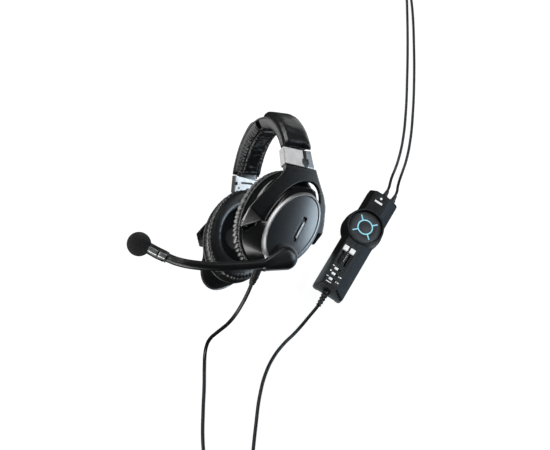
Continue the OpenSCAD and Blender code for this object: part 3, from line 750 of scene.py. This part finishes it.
def make_hub():
    """The boom's hub: a pebble that narrows to the boom."""
    rings, cols = 26, 96
    tip_r, reach = 5.6, HUB_TIP - HUB_C
    lean = math.atan2(reach.y, reach.x)
    tangent = math.acos((HUB_R - tip_r) / reach.length)
    outline = []
    for j in range(cols):
        a = 2 * math.pi * j / cols
        from_tip = abs((a + math.pi) % (2 * math.pi) - math.pi)
        centre, r = (HUB_TIP, tip_r) if from_tip < tangent else (HUB_C, HUB_R)
        outline.append(centre + r * Vector((math.cos(a + lean), math.sin(a + lean))))
    points = []
    for i in range(rings):
        share = math.sin(math.pi / 2 * (i + 1) / rings)
        for p in outline:
            q = HUB_C.lerp(p, share)
            along = max(0.0, min(1.0, (q - HUB_C).dot(reach) / reach.length_squared))
            towards = max(0.0, (p - HUB_C).normalized().dot(reach.normalized()))
            power = 2.6 + 7 * towards ** 3
            height = (HUB_T - 1.6 * along) * max(0.0, 1 - share ** power) ** 0.42
            points.append((q.x, q.y, HUB_Z + max(height, 0.6)))
    points.append((HUB_C.x, HUB_C.y, HUB_Z + HUB_T))
    low = len(points)
    points += [(p.x, p.y, HUB_Z) for p in outline]
    faces = net(rings, cols) + [(low - 1, (j + 1) % cols, j) for j in range(cols)]
    faces += [((rings - 1) * cols + j, (rings - 1) * cols + (j + 1) % cols, low + (j + 1) % cols, low + j)
              for j in range(cols)]
    faces.append(tuple(range(low, low + cols)))
    dress(solid("boom_hub_moulded", points, faces), "boom_hub", ["boom_hub"])


def make_mic():
    """The microphone's body: collar, grooves and a stepped nose, with two light windows."""
    steps = [(0, 4.6), (0.02, 5.6), (0.06, 6.2), (0.1, 6.3), (0.12, 5.8), (0.15, 5.8), (0.17, 6.3),
             (0.47, 6.4), (0.48, 6.1), (0.49, 6.1), (0.5, 6.4), (0.94, 6.3), (1.0, 5.6)]
    path = smooth_path(MIC_PATH, 40)
    rings = [path[round(t * (len(path) - 1))] for t, _ in steps]
    dress(turned_along("mic_body_turned", rings, [r for _, r in steps], 48), "mic_body", ["mic_body"])
    for i, (start, end) in enumerate(((0.14, 0.45), (0.52, 0.92))):
        make_window(f"mic_window_{i + 1}", path, start, end)


def make_window(name, path, start, end):
    """A rounded light window that wraps the microphone's body on its outer side."""
    rows, cols = 9, 15
    points = []
    for height in (6.46, 6.9):
        for i in range(rows):
            t = start + (end - start) * i / (rows - 1)
            k = t * (len(path) - 1)
            a, b = path[int(k)], path[min(int(k) + 1, len(path) - 1)]
            p = a.lerp(b, k - int(k))
            along = (path[-1] - path[0]).normalized()
            u = along.cross(Vector((0, 0, 1))).normalized()
            v = u.cross(along)
            edge = min(i, rows - 1 - i)
            for j in range(cols):
                wide = 0.44 * (1 - 0.16 * (edge == 0))
                a = wide * (-1 + 2 * j / (cols - 1)) - 0.35
                border = min(edge, j, cols - 1 - j) == 0
                r = height - (0.35 if border and height > 6.5 else 0)
                points.append(p + r * (v * math.cos(a) + u * math.sin(a)))
    top = [tuple(rows * cols + k for k in face) for face in net(rows, cols, wrap_cols=False)]
    low = net(rows, cols, wrap_cols=False)
    rim = [i * cols for i in range(rows)] + [(rows - 1) * cols + j for j in range(1, cols)]
    rim += [i * cols + cols - 1 for i in range(rows - 2, -1, -1)] + list(range(cols - 2, 0, -1))
    n = rows * cols
    walls = [(rim[k], rim[(k + 1) % len(rim)], n + rim[(k + 1) % len(rim)], n + rim[k])
             for k in range(len(rim))]
    dress(solid(name, points, top + low + walls), "mic_body", slot="block_metal")


def make_windscreen():
    """A foam ball with an open-cell surface."""
    mesh = bpy.data.meshes.new("windscreen_foam")
    work = bmesh.new()
    bmesh.ops.create_icosphere(work, subdivisions=6, radius=1)
    for vert in work.verts:
        d = vert.co.normalized()
        cell = noise.voronoi(d * 13)[0][0]
        fine = noise.noise(d * 24)
        r = FOAM_R + 0.1 - 0.9 * max(0.0, 0.42 - cell) - 0.35 * max(0.0, fine)
        vert.co = place(*(FOAM_C + d * r))
    work.to_mesh(mesh)
    work.free()
    mesh.shade_smooth()
    dress(new_object("windscreen_foam", mesh), "windscreen", ["windscreen"])


def make_gland():
    """A stepped rubber sleeve from the cup to the cord."""
    path = smooth_path(GLAND_PATH, 12)
    radii = []
    for i in range(len(path)):
        t = i / (len(path) - 1)
        rib = 0.35 * (math.sin(t * 2 * math.pi * 5) > 0.2) * (0.35 < t < 0.92)
        radii.append(5.0 - 2.4 * t ** 1.3 + rib)
    dress(turned_along("cord_gland_ribbed", path, radii), "cord_gland", ["cord_gland"])


# ---- control module ----------------------------------------------------------------------


def make_relief():
    """The beaded rubber sleeve between the module and the main cord."""
    path, radii = [], []
    for i in range(97):
        out = -4 + 0.25 * i
        t = max(0.0, (out - 3) / 17)
        bead = 1.5 * (1 - abs(math.sin(3.5 * math.pi * t))) if t > 0 else 0
        path.append(module_point(RELIEF_W, -out, RELIEF_N))
        radii.append(max(2.6 if out > 1 else 4.5, 4.5 - 1.1 * t - bead))
    dress(turned_along("module_relief_beaded", path, radii), "module_relief", ["module_relief"])


def module_mark(name, w, l, half_w, half_l, turn=0.0):
    """A thin printed mark on the module's face, with round corners."""
    points = []
    corner = min(half_w, half_l) * 0.7
    outline = []
    for k in range(4):
        for step in range(5):
            a = math.pi / 2 * (k + step / 4)
            cx = (half_w - corner) * (1 if k in (0, 3) else -1)
            cy = (half_l - corner) * (1 if k in (0, 1) else -1)
            outline.append((cx + corner * math.cos(a), cy + corner * math.sin(a)))
    c, s = math.cos(turn), math.sin(turn)
    for n in (MODULE_TOP - 0.05, MODULE_TOP + 0.06):
        for x, y in outline:
            points.append(module_point(w + x * c - y * s, l + x * s + y * c, n))
    return solid(name, points, capped(2, len(outline)))


def make_marks():
    """Plain dashes and dots beside the controls."""
    marks = [(9.0, 31.9, 1.4, 0.5), (8.8, 24.0, 0.9, 0.9), (8.6, 15.6, 1.4, 0.5),
             (21.8, 21.6, 0.35, 1.0), (24.2, 21.8, 1.3, 0.8), (21.8, 13.7, 0.35, 1.2),
             (24.6, 13.7, 1.3, 0.6), (13.4, 9.2, 3.6, 0.5)]
    marks += [(17.15 - 0.14 * i, 54.6 - 2.7 * i, 0.42, 0.42) for i in range(5)]
    parts = [module_mark(f"mark_{i}", *m) for i, m in enumerate(marks)]
    dress(joined("module_marks", parts), "status_marks")


def bevel_cad():
    """Small rounds on the CAD nodes that show as they are."""
    widths = {"module_top": 0.8, "module_base": 0.5, "button_disc": 0.4, "button_glow": 0.08,
              "knob_a": 0.3, "knob_b": 0.3, "switch_a": 0.3, "switch_b": 0.3, "switch_c": 0.3,
              "battery_door": 0.3, "belt_clip": 0.5, "status_marks": 0.1, "block_badges": 0.15,
              "module_screws": 0.15, "left_stem": 0.3, "right_stem": 0.3,
              "band_spring": 0.3, "band_core": 0.4, "boom_pin": 0.3, "plug_a_body": 0.6,
              "plug_b_body": 0.6, "plug_a_pin": 0.2, "plug_b_pin": 0.2,
              "lead_reliefs": 0.25, "battery_cells": 0.3, "module_pcb": 0.1, "left_driver": 0.4,
              "right_driver": 0.4, "left_baffle": 0.4, "right_baffle": 0.4, "band_piping": 0.1}
    for node, width in widths.items():
        bevelled(node, width)


# ---- stage -------------------------------------------------------------------------------


def make_floor():
    """A pale floor that glossy pieces don't mirror, so that black stays black."""
    mesh = bpy.data.meshes.new("floor")
    mesh.from_pydata([(-6, -6, 0), (6, -6, 0), (6, 6, 0), (-6, 6, 0)], [], [(0, 1, 2, 3)])
    floor = new_object("floor", mesh)
    material = bpy.data.materials.new("pale_floor")
    material.use_nodes = True
    shader = material.node_tree.nodes["Principled BSDF"]
    shader.inputs["Base Color"].default_value = (0.32, 0.32, 0.32, 1)
    shader.inputs["Roughness"].default_value = 1
    shader.inputs["Specular IOR Level"].default_value = 0
    shader.inputs["Emission Color"].default_value = (1, 1, 1, 1)
    shader.inputs["Emission Strength"].default_value = 0.95
    mesh.materials.append(material)
    floor.visible_glossy = floor.visible_diffuse = False


def make_card(name, corners, strength, color=(1, 1, 1)):
    """A bright card that only reflections see, as studios stand beside glossy black things.

    The corners are in the row frame, in metres.
    """
    mesh = bpy.data.meshes.new(name)
    mesh.from_pydata(corners, [], [(0, 1, 2, 3)])
    card = new_object(name, mesh)
    material = bpy.data.materials.new(name)
    material.use_nodes = True
    shader = material.node_tree.nodes["Principled BSDF"]
    shader.inputs["Base Color"].default_value = (0, 0, 0, 1)
    shader.inputs["Emission Color"].default_value = (*color, 1)
    shader.inputs["Emission Strength"].default_value = strength
    mesh.materials.append(material)
    card.visible_camera = card.visible_diffuse = card.visible_shadow = False


def floor_card(name, x0, x1, y0, y1, strength, color=(1, 1, 1)):
    """A card that lies on the floor."""
    make_card(name, [(x0, y0, 0.0006), (x1, y0, 0.0006), (x1, y1, 0.0006), (x0, y1, 0.0006)],
              strength, color)


def make_cards():
    """Cards for the pleats, the block's front, the band, the hub, the module's side, the yoke's tip
    and the oval cover."""
    floor_card("pleat_card", -0.20, -0.112, -0.12, 0.055, 3.5)
    floor_card("block_card", -0.17, -0.05, 0.06, 0.15, 1.3)
    floor_card("band_card", 0.12, 0.85, 0.17, 0.95, 1.4)
    floor_card("hub_card", 0.03, 0.3, -0.25, -0.03, 1, (0.8, 0.92, 1.0))
    make_card("side_card", [(0.6, -0.35, 0.02), (0.6, 0.2, 0.02), (0.6, 0.2, 0.4), (0.6, -0.35, 0.4)],
              1.6, (0.6, 0.8, 1.0))
    make_card("tip_card", [(-0.62, -0.36, 0.0), (-0.14, -0.72, 0.0), (-0.14, -0.72, 0.34),
                           (-0.62, -0.36, 0.34)], 5)
    make_card("panel_card", [(0.13, -0.06, 0.4), (0.25, -0.06, 0.4), (0.25, 0.14, 0.4),
                             (0.13, 0.14, 0.4)], 7, (0.82, 0.92, 1.0))


def softbox(name, at, towards, size, power, color=(1, 1, 1)):
    """An area light; at and towards are in the headset's frame, in millimetres."""
    data = bpy.data.lights.new(name, "AREA")
    data.shape, data.size, data.size_y = "RECTANGLE", *size
    data.energy, data.color = power, color
    light = bpy.data.objects.new(name, data)
    bpy.context.scene.collection.objects.link(light)
    start, end = place(*at), place(*towards)
    light.rotation_mode = "QUATERNION"
    light.rotation_quaternion = (end - start).to_track_quat("-Z", "Y")
    light.location = start


def from_middle(direction, distance):
    """A place that far from the middle of the cups, in the headset's frame."""
    return tuple(Vector((-10, -50, 20)) + Vector(direction).normalized() * distance)


def make_lights():
    """Soft studio lights: front, crown and rear, with a faint sky."""
    middle = (-10, -50, 20)
    softbox("front_key", from_middle((-0.84, 0.18, 0.47), 1300), middle, (0.5, 0.5), 5)
    softbox("front_crown", from_middle((-0.5, 0.84, 0.2), 1300), middle, (0.7, 0.4), 7)
    softbox("crown_box", from_middle((0.28, 0.64, 0.7), 1500), middle, (0.55, 0.4), 1.6)
    softbox("rear_blue", from_middle((0.78, 0.15, 0.55), 1300), middle, (0.5, 0.4), 6, (0.74, 0.88, 1.0))
    world = bpy.data.worlds.new("studio")
    world.use_nodes = True
    background = world.node_tree.nodes["Background"]
    background.inputs["Color"].default_value = (0.9, 0.95, 1, 1)
    background.inputs["Strength"].default_value = 0.03
    bpy.context.scene.world = world
    bpy.context.scene.view_settings.view_transform = "Standard"


for side in (1, -1):
    make_cushion(side)
    make_seal_bead(side)
    make_cover(side)
    make_pad(side)
    make_panel(side)
    make_trim(side)
    # Dark sheets painted as the shade inside the end block's slot and its two holes.
    make_painted_hole_shade(side, 1, -8.5, 5, 3.5, 1.2)
    make_painted_hole_shade(side, 2, -0.1, 0.1, -5.5, 2.2)
    make_painted_hole_shade(side, 3, -12.2, -12, -3.2, 1.1)
make_shells()
make_boom()
make_mic()
make_windscreen()
make_gland()
make_block_screws()
make_relief()
make_marks()
bevel_cad()
make_floor()
make_cards()
make_lights()
